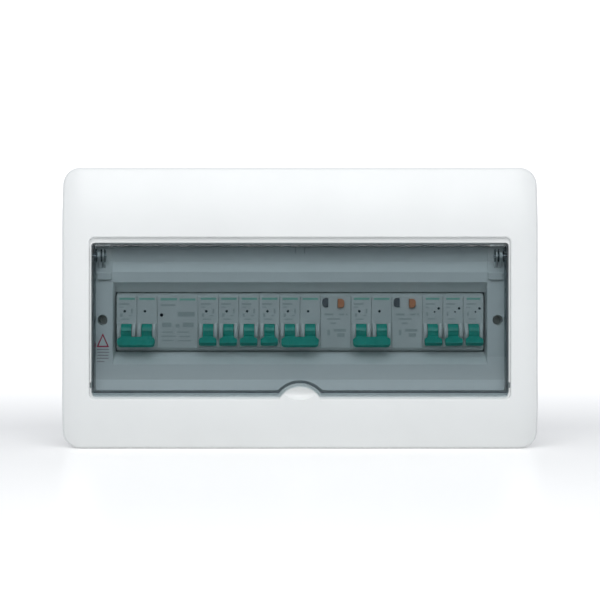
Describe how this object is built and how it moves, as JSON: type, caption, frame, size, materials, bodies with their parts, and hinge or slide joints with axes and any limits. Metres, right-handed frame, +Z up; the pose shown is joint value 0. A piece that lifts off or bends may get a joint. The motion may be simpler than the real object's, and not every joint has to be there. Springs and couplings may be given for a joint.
{
  "type": "distribution box",
  "caption": "Flush-mounted breaker panel: steel wall box, moulded cover with a top-hinged smoked window, and a rail of circuit breakers with working toggles.",
  "frame": {"origin": "centre of the steel box's outer rear face, which is also the centre of the four wall holes", "axes": "+Z up, +X to the right when facing the panel, -Y out of the wall towards the user"},
  "size_m": [0.415, 0.098, 0.246],
  "materials": {
    "box_steel": "galvanised sheet",
    "rail_steel": "zinc plated",
    "screw_steel": "nickel plated",
    "pin_steel": "bright",
    "brass": "machined",
    "coil_copper": "enamelled copper wire",
    "holder_blue": "moulded",
    "holder_green": "moulded",
    "cover_white": "satin ABS",
    "hinge_white": "moulded",
    "smoked_window": "clear smoked polycarbonate",
    "case_grey": "moulded",
    "toggle_green": "moulded",
    "button_grey": "moulded",
    "button_orange": "moulded",
    "lens_dark": "polished",
    "clip_plastic": "moulded"
  },
  "bodies": {
    "box": {"back_box": "box_steel", "rail_brackets": "box_steel", "din_rail": "rail_steel", "rail_screws": "screw_steel", "neutral_bar": "brass", "neutral_bar_holder": "holder_blue", "earth_bar": "brass", "earth_bar_holder": "holder_green", "terminal_bar_screws": "screw_steel", "front_cover": "cover_white", "cover_screws": "screw_steel", "hinge_bracket_left": "hinge_white", "hinge_bracket_right": "hinge_white", "hinge_pins": "pin_steel", "terminal_cages": "rail_steel", "terminal_screws": "screw_steel", "case_rivets": "pin_steel", "trip_coils": "coil_copper", "arc_chutes": "rail_steel", "status_lens": "lens_dark", "main_switch_case": "case_grey", "voltage_protector_case": "case_grey", "mcb_1_case": "case_grey", "mcb_2_case": "case_grey", "mcb_3_case": "case_grey", "mcb_4_case": "case_grey", "rcbo_1_breaker_case": "case_grey", "rcbo_1_leakage_case": "case_grey", "rcbo_2_breaker_case": "case_grey", "rcbo_2_leakage_case": "case_grey", "mcb_5_case": "case_grey", "mcb_6_case": "case_grey", "mcb_7_case": "case_grey"},
    "main_switch_toggle": {"main_switch_toggle": "toggle_green"},
    "main_switch_rail_clip": {"main_switch_rail_clip": "clip_plastic"},
    "voltage_protector_rail_clip": {"voltage_protector_rail_clip": "clip_plastic"},
    "mcb_1_toggle": {"mcb_1_toggle": "toggle_green"},
    "mcb_1_rail_clip": {"mcb_1_rail_clip": "clip_plastic"},
    "mcb_2_toggle": {"mcb_2_toggle": "toggle_green"},
    "mcb_2_rail_clip": {"mcb_2_rail_clip": "clip_plastic"},
    "mcb_3_toggle": {"mcb_3_toggle": "toggle_green"},
    "mcb_3_rail_clip": {"mcb_3_rail_clip": "clip_plastic"},
    "mcb_4_toggle": {"mcb_4_toggle": "toggle_green"},
    "mcb_4_rail_clip": {"mcb_4_rail_clip": "clip_plastic"},
    "rcbo_1_toggle": {"rcbo_1_toggle": "toggle_green"},
    "rcbo_1_rail_clip": {"rcbo_1_rail_clip": "clip_plastic"},
    "rcbo_1_test_button": {"rcbo_1_test_button": "button_grey"},
    "rcbo_1_reset_button": {"rcbo_1_reset_button": "button_orange"},
    "rcbo_2_toggle": {"rcbo_2_toggle": "toggle_green"},
    "rcbo_2_rail_clip": {"rcbo_2_rail_clip": "clip_plastic"},
    "rcbo_2_test_button": {"rcbo_2_test_button": "button_grey"},
    "rcbo_2_reset_button": {"rcbo_2_reset_button": "button_orange"},
    "mcb_5_toggle": {"mcb_5_toggle": "toggle_green"},
    "mcb_5_rail_clip": {"mcb_5_rail_clip": "clip_plastic"},
    "mcb_6_toggle": {"mcb_6_toggle": "toggle_green"},
    "mcb_6_rail_clip": {"mcb_6_rail_clip": "clip_plastic"},
    "mcb_7_toggle": {"mcb_7_toggle": "toggle_green"},
    "mcb_7_rail_clip": {"mcb_7_rail_clip": "clip_plastic"},
    "door": {"window_door": "smoked_window"}
  },
  "joints": [
    {"name": "door_swing", "type": "hinge", "parent": "box", "child": "door", "pos_m": [0, -0.0915, 0.0456], "axis": [-1, 0, 0], "range_deg": [0, 110]},
    {"name": "main_switch_throw", "type": "hinge", "parent": "box", "child": "main_switch_toggle", "pos_m": [-0.144, -0.074, -0.0216], "axis": [-1, 0, 0], "range_deg": [0, 84]},
    {"name": "main_switch_clip_pull", "type": "slide", "parent": "box", "child": "main_switch_rail_clip", "axis": [0, 0, -1], "range_m": [0, 0.003], "stiffness_N_per_m": 800, "springref_m": -0.002},
    {"name": "voltage_protector_clip_pull", "type": "slide", "parent": "box", "child": "voltage_protector_rail_clip", "axis": [0, 0, -1], "range_m": [0, 0.003], "stiffness_N_per_m": 800, "springref_m": -0.002},
    {"name": "mcb_1_throw", "type": "hinge", "parent": "box", "child": "mcb_1_toggle", "pos_m": [-0.081, -0.074, -0.0216], "axis": [-1, 0, 0], "range_deg": [0, 84]},
    {"name": "mcb_1_clip_pull", "type": "slide", "parent": "box", "child": "mcb_1_rail_clip", "axis": [0, 0, -1], "range_m": [0, 0.003], "stiffness_N_per_m": 800, "springref_m": -0.002},
    {"name": "mcb_2_throw", "type": "hinge", "parent": "box", "child": "mcb_2_toggle", "pos_m": [-0.063, -0.074, -0.0216], "axis": [-1, 0, 0], "range_deg": [0, 84]},
    {"name": "mcb_2_clip_pull", "type": "slide", "parent": "box", "child": "mcb_2_rail_clip", "axis": [0, 0, -1], "range_m": [0, 0.003], "stiffness_N_per_m": 800, "springref_m": -0.002},
    {"name": "mcb_3_throw", "type": "hinge", "parent": "box", "child": "mcb_3_toggle", "pos_m": [-0.045, -0.074, -0.0216], "axis": [-1, 0, 0], "range_deg": [0, 84]},
    {"name": "mcb_3_clip_pull", "type": "slide", "parent": "box", "child": "mcb_3_rail_clip", "axis": [0, 0, -1], "range_m": [0, 0.003], "stiffness_N_per_m": 800, "springref_m": -0.002},
    {"name": "mcb_4_throw", "type": "hinge", "parent": "box", "child": "mcb_4_toggle", "pos_m": [-0.027, -0.074, -0.0216], "axis": [-1, 0, 0], "range_deg": [0, 84]},
    {"name": "mcb_4_clip_pull", "type": "slide", "parent": "box", "child": "mcb_4_rail_clip", "axis": [0, 0, -1], "range_m": [0, 0.003], "stiffness_N_per_m": 800, "springref_m": -0.002},
    {"name": "rcbo_1_throw", "type": "hinge", "parent": "box", "child": "rcbo_1_toggle", "pos_m": [0, -0.074, -0.0216], "axis": [-1, 0, 0], "range_deg": [0, 84]},
    {"name": "rcbo_1_clip_pull", "type": "slide", "parent": "box", "child": "rcbo_1_rail_clip", "axis": [0, 0, -1], "range_m": [0, 0.003], "stiffness_N_per_m": 800, "springref_m": -0.002},
    {"name": "rcbo_1_test_press", "type": "slide", "parent": "box", "child": "rcbo_1_test_button", "axis": [0, 1, 0], "range_m": [0, 0.001], "stiffness_N_per_m": 500, "springref_m": -0.002},
    {"name": "rcbo_1_reset_press", "type": "slide", "parent": "box", "child": "rcbo_1_reset_button", "axis": [0, 1, 0], "range_m": [0, 0.002], "stiffness_N_per_m": 500, "springref_m": -0.002},
    {"name": "rcbo_2_throw", "type": "hinge", "parent": "box", "child": "rcbo_2_toggle", "pos_m": [0.063, -0.074, -0.0216], "axis": [-1, 0, 0], "range_deg": [0, 84]},
    {"name": "rcbo_2_clip_pull", "type": "slide", "parent": "box", "child": "rcbo_2_rail_clip", "axis": [0, 0, -1], "range_m": [0, 0.003], "stiffness_N_per_m": 800, "springref_m": -0.002},
    {"name": "rcbo_2_test_press", "type": "slide", "parent": "box", "child": "rcbo_2_test_button", "axis": [0, 1, 0], "range_m": [0, 0.001], "stiffness_N_per_m": 500, "springref_m": -0.002},
    {"name": "rcbo_2_reset_press", "type": "slide", "parent": "box", "child": "rcbo_2_reset_button", "axis": [0, 1, 0], "range_m": [0, 0.002], "stiffness_N_per_m": 500, "springref_m": -0.002},
    {"name": "mcb_5_throw", "type": "hinge", "parent": "box", "child": "mcb_5_toggle", "pos_m": [0.117, -0.074, -0.0216], "axis": [-1, 0, 0], "range_deg": [0, 84]},
    {"name": "mcb_5_clip_pull", "type": "slide", "parent": "box", "child": "mcb_5_rail_clip", "axis": [0, 0, -1], "range_m": [0, 0.003], "stiffness_N_per_m": 800, "springref_m": -0.002},
    {"name": "mcb_6_throw", "type": "hinge", "parent": "box", "child": "mcb_6_toggle", "pos_m": [0.135, -0.074, -0.0216], "axis": [-1, 0, 0], "range_deg": [0, 84]},
    {"name": "mcb_6_clip_pull", "type": "slide", "parent": "box", "child": "mcb_6_rail_clip", "axis": [0, 0, -1], "range_m": [0, 0.003], "stiffness_N_per_m": 800, "springref_m": -0.002},
    {"name": "mcb_7_throw", "type": "hinge", "parent": "box", "child": "mcb_7_toggle", "pos_m": [0.153, -0.074, -0.0216], "axis": [-1, 0, 0], "range_deg": [0, 84]},
    {"name": "mcb_7_clip_pull", "type": "slide", "parent": "box", "child": "mcb_7_rail_clip", "axis": [0, 0, -1], "range_m": [0, 0.003], "stiffness_N_per_m": 800, "springref_m": -0.002}
  ]
}
